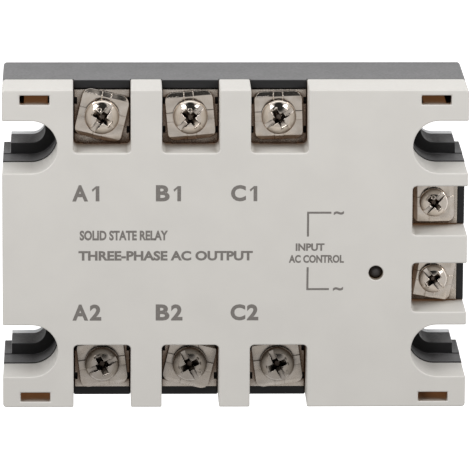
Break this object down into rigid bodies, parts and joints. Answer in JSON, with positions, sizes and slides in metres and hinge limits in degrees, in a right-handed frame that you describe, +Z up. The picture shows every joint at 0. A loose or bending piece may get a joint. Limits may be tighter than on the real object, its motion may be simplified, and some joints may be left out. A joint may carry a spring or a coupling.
{
  "type": "solid state relay",
  "caption": "Three-phase solid state relay: moulded case on an aluminium base plate, with screw clamp power and control terminals, an indicator and open fixing slots.",
  "frame": {"origin": "centre of the mounting face, under the middle of the case", "axes": "+X along the length towards the control terminals, +Y towards the line terminals, +Z up out of the cover face"},
  "size_m": [0.105, 0.0734, 0.0325],
  "materials": {
    "cover_plastic": "warm light grey moulded thermoplastic, fine texture",
    "base_plastic": "charcoal moulded thermoplastic, fine texture",
    "plate_aluminium": "milled aluminium, satin",
    "sealant": "grey silicone bead",
    "resin": "black epoxy resin",
    "ceramic": "white alumina",
    "silicon": "soldered silicon chip",
    "brass_wire": "drawn wire",
    "steel_nut": "plated steel",
    "board_laminate": "green solder mask on glass laminate",
    "component_black": "moulded black package",
    "capacitor_case": "boxed film capacitor",
    "resistor_body": "coated resistor",
    "led_lens": "dark red tinted lens",
    "nickel_busbar": "bright nickel plate on brass",
    "nickel_clamp": "bright nickel plate on steel",
    "nickel_screw": "bright nickel plate on steel"
  },
  "bodies": {
    "case": {"cover": "cover_plastic", "base_body": "base_plastic", "base_plate": "plate_aluminium", "plate_seal": "sealant", "potting": "resin", "ceramic_substrates": "ceramic", "thyristor_chips": "silicon", "gate_leads": "brass_wire", "power_nuts": "steel_nut", "input_nuts": "steel_nut", "busbar_l1": "nickel_busbar", "busbar_l2": "nickel_busbar", "busbar_l3": "nickel_busbar", "busbar_t1": "nickel_busbar", "busbar_t2": "nickel_busbar", "busbar_t3": "nickel_busbar", "busbar_in1": "nickel_busbar", "busbar_in2": "nickel_busbar", "control_board": "board_laminate", "optocouplers": "component_black", "bridge_rectifier": "component_black", "input_capacitor": "capacitor_case", "input_resistors": "resistor_body", "snubber_capacitors": "capacitor_case", "snubber_resistors": "resistor_body", "gate_resistors": "resistor_body", "indicator_led": "led_lens"},
    "clamp_l1": {"clamp_l1": "nickel_clamp"},
    "screw_l1": {"screw_l1": "nickel_screw"},
    "clamp_l2": {"clamp_l2": "nickel_clamp"},
    "screw_l2": {"screw_l2": "nickel_screw"},
    "clamp_l3": {"clamp_l3": "nickel_clamp"},
    "screw_l3": {"screw_l3": "nickel_screw"},
    "clamp_t1": {"clamp_t1": "nickel_clamp"},
    "screw_t1": {"screw_t1": "nickel_screw"},
    "clamp_t2": {"clamp_t2": "nickel_clamp"},
    "screw_t2": {"screw_t2": "nickel_screw"},
    "clamp_t3": {"clamp_t3": "nickel_clamp"},
    "screw_t3": {"screw_t3": "nickel_screw"},
    "clamp_in1": {"clamp_in1": "nickel_clamp"},
    "screw_in1": {"screw_in1": "nickel_screw"},
    "clamp_in2": {"clamp_in2": "nickel_clamp"},
    "screw_in2": {"screw_in2": "nickel_screw"}
  },
  "joints": [
    {"name": "clamp_lift_l1", "type": "slide", "parent": "case", "child": "clamp_l1", "axis": [0, 0, 1], "range_m": [0, 0.00408]},
    {"name": "screw_turn_l1", "type": "hinge", "parent": "clamp_l1", "child": "screw_l1", "pos_m": [-0.03, 0.0288, 0.0229], "axis": [0, 0, 1], "range_deg": [0, 2099]},
    {"name": "clamp_lift_l2", "type": "slide", "parent": "case", "child": "clamp_l2", "axis": [0, 0, 1], "range_m": [0, 0.00408]},
    {"name": "screw_turn_l2", "type": "hinge", "parent": "clamp_l2", "child": "screw_l2", "pos_m": [-0.01, 0.0288, 0.0229], "axis": [0, 0, 1], "range_deg": [0, 2099]},
    {"name": "clamp_lift_l3", "type": "slide", "parent": "case", "child": "clamp_l3", "axis": [0, 0, 1], "range_m": [0, 0.00408]},
    {"name": "screw_turn_l3", "type": "hinge", "parent": "clamp_l3", "child": "screw_l3", "pos_m": [0.01, 0.0288, 0.0229], "axis": [0, 0, 1], "range_deg": [0, 2099]},
    {"name": "clamp_lift_t1", "type": "slide", "parent": "case", "child": "clamp_t1", "axis": [0, 0, 1], "range_m": [0, 0.00408]},
    {"name": "screw_turn_t1", "type": "hinge", "parent": "clamp_t1", "child": "screw_t1", "pos_m": [-0.03, -0.0288, 0.0229], "axis": [0, 0, 1], "range_deg": [0, 2099]},
    {"name": "clamp_lift_t2", "type": "slide", "parent": "case", "child": "clamp_t2", "axis": [0, 0, 1], "range_m": [0, 0.00408]},
    {"name": "screw_turn_t2", "type": "hinge", "parent": "clamp_t2", "child": "screw_t2", "pos_m": [-0.01, -0.0288, 0.0229], "axis": [0, 0, 1], "range_deg": [0, 2099]},
    {"name": "clamp_lift_t3", "type": "slide", "parent": "case", "child": "clamp_t3", "axis": [0, 0, 1], "range_m": [0, 0.00408]},
    {"name": "screw_turn_t3", "type": "hinge", "parent": "clamp_t3", "child": "screw_t3", "pos_m": [0.01, -0.0288, 0.0229], "axis": [0, 0, 1], "range_deg": [0, 2099]},
    {"name": "clamp_lift_in1", "type": "slide", "parent": "case", "child": "clamp_in1", "axis": [0, 0, 1], "range_m": [0, 0.0033]},
    {"name": "screw_turn_in1", "type": "hinge", "parent": "clamp_in1", "child": "screw_in1", "pos_m": [0.0454, 0.0089, 0.0229], "axis": [0, 0, 1], "range_deg": [0, 1981]},
    {"name": "clamp_lift_in2", "type": "slide", "parent": "case", "child": "clamp_in2", "axis": [0, 0, 1], "range_m": [0, 0.0033]},
    {"name": "screw_turn_in2", "type": "hinge", "parent": "clamp_in2", "child": "screw_in2", "pos_m": [0.0454, -0.0089, 0.0229], "axis": [0, 0, 1], "range_deg": [0, 1981]}
  ],
  "couplings": [
    {"joint": "screw_turn_l1", "follows": "clamp_lift_l1", "rad_per_m": 8976},
    {"joint": "screw_turn_l2", "follows": "clamp_lift_l2", "rad_per_m": 8976},
    {"joint": "screw_turn_l3", "follows": "clamp_lift_l3", "rad_per_m": 8976},
    {"joint": "screw_turn_t1", "follows": "clamp_lift_t1", "rad_per_m": 8976},
    {"joint": "screw_turn_t2", "follows": "clamp_lift_t2", "rad_per_m": 8976},
    {"joint": "screw_turn_t3", "follows": "clamp_lift_t3", "rad_per_m": 8976},
    {"joint": "screw_turn_in1", "follows": "clamp_lift_in1", "rad_per_m": 10472},
    {"joint": "screw_turn_in2", "follows": "clamp_lift_in2", "rad_per_m": 10472}
  ]
}
